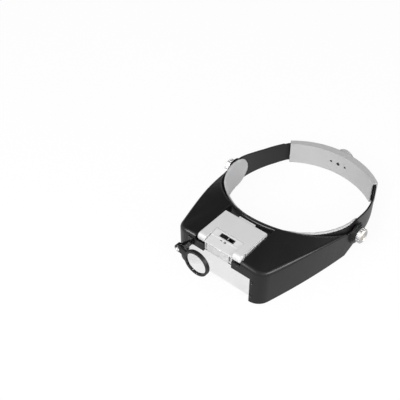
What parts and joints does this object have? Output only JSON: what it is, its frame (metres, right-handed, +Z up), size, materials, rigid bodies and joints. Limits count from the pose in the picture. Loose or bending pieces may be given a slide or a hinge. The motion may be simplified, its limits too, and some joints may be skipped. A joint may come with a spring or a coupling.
{
  "type": "headband magnifier",
  "caption": "Headband magnifier with a tilting visor, flip-down lens, swing loupe, battery lamp and geared size knob.",
  "frame": {"origin": "on the floor, under the middle of the footprint", "axes": "+Z up, +Y towards the rear knob (the lenses face -Y), +X towards the wearer's left"},
  "size_m": [0.2066, 0.2942, 0.059],
  "materials": {
    "black_plastic": "satin moulded black",
    "black_gloss": "gloss moulded near-black",
    "pad_foam": "soft grey pad",
    "grey_plastic": "satin light grey",
    "lamp_plastic": "satin light grey",
    "white_nylon": "natural",
    "screw_steel": "plated",
    "black_screw": "blackened",
    "spring_steel": "bright",
    "washer_rubber": "matt",
    "knob_chrome": "bright metallised plastic",
    "insert_brass": "turned",
    "lens_acrylic": "clear polished",
    "led_epoxy": "clear",
    "board_green": "lacquered",
    "battery_skin": "printed sleeve, plain"
  },
  "bodies": {
    "headband": {"forehead_band": "black_plastic", "forehead_pad": "pad_foam", "rear_housing_inner": "grey_plastic", "rear_housing_outer": "grey_plastic", "housing_screws": "screw_steel", "pivot_bolts": "screw_steel", "friction_washers": "washer_rubber"},
    "strap_left": {"strap_rack_left": "black_plastic"},
    "strap_right": {"strap_rack_right": "black_plastic"},
    "size_knob": {"adjuster_knob": "grey_plastic", "adjuster_pinion": "white_nylon", "adjuster_screw": "screw_steel", "click_spring": "spring_steel"},
    "clamp_left": {"clamp_knob_left": "knob_chrome", "knob_insert_left": "insert_brass"},
    "clamp_right": {"clamp_knob_right": "knob_chrome", "knob_insert_right": "insert_brass"},
    "visor": {"visor_shell": "black_gloss", "front_lens": "lens_acrylic", "lens_clips": "black_plastic", "lens_screws": "black_screw", "loupe_bracket": "black_plastic", "loupe_screw": "screw_steel", "lamp_hinge_pins": "screw_steel"},
    "flip_glass": {"flip_lens": "lens_acrylic", "flip_lens_frame": "black_plastic"},
    "loupe": {"loupe_ring": "black_plastic", "loupe_lens": "lens_acrylic"},
    "lamp": {"lamp_case": "lamp_plastic", "lamp_window": "lens_acrylic", "lamp_leds": "led_epoxy", "circuit_board": "board_green", "batteries": "battery_skin", "battery_contacts": "spring_steel"},
    "lid": {"battery_lid": "lamp_plastic"},
    "switch": {"switch_slider": "black_plastic"}
  },
  "joints": [
    {"name": "size_knob_turn", "type": "hinge", "parent": "headband", "child": "size_knob", "pos_m": [0, 0.14215, 0.0162], "axis": [0, -1, 0], "range_deg": [0, 279]},
    {"name": "strap_left_slide", "type": "hinge", "parent": "headband", "child": "strap_left", "pos_m": [0, 0.02315, 0.0162], "axis": [0, 0, 1], "range_deg": [0, 15.7]},
    {"name": "strap_right_slide", "type": "hinge", "parent": "headband", "child": "strap_right", "pos_m": [0, 0.02315, 0.0162], "axis": [0, 0, 1], "range_deg": [-15.4, 0]},
    {"name": "clamp_left_turn", "type": "hinge", "parent": "headband", "child": "clamp_left", "pos_m": [0.099, 0.02215, 0.026], "axis": [1, 0, 0], "range_deg": [0, 360]},
    {"name": "clamp_right_turn", "type": "hinge", "parent": "headband", "child": "clamp_right", "pos_m": [-0.099, 0.02215, 0.026], "axis": [-1, 0, 0], "range_deg": [0, 360]},
    {"name": "visor_tilt", "type": "hinge", "parent": "headband", "child": "visor", "pos_m": [0, 0.02215, 0.026], "axis": [-1, 0, 0], "range_deg": [-20, 50]},
    {"name": "flip_glass_swing", "type": "hinge", "parent": "visor", "child": "flip_glass", "pos_m": [0, -0.11635, 0.0354], "axis": [-1, 0, 0], "range_deg": [0, 90]},
    {"name": "loupe_swing", "type": "hinge", "parent": "visor", "child": "loupe", "pos_m": [-0.043, -0.14435, 0.0398], "axis": [0, -1, 0], "range_deg": [-30, 200]},
    {"name": "lamp_tilt", "type": "hinge", "parent": "visor", "child": "lamp", "pos_m": [0, -0.12035, 0.052], "axis": [1, 0, 0], "range_deg": [0, 30]},
    {"name": "lid_open", "type": "hinge", "parent": "lamp", "child": "lid", "pos_m": [0, -0.12035, 0.052], "axis": [1, 0, 0], "range_deg": [0, 95]},
    {"name": "switch_slide", "type": "slide", "parent": "lamp", "child": "switch", "axis": [1, 0, 0], "range_m": [0, 0.008]}
  ],
  "couplings": [
    {"joint": "strap_left_slide", "follows": "size_knob_turn", "ratio": 0.05597},
    {"joint": "strap_right_slide", "follows": "size_knob_turn", "ratio": -0.054895}
  ]
}
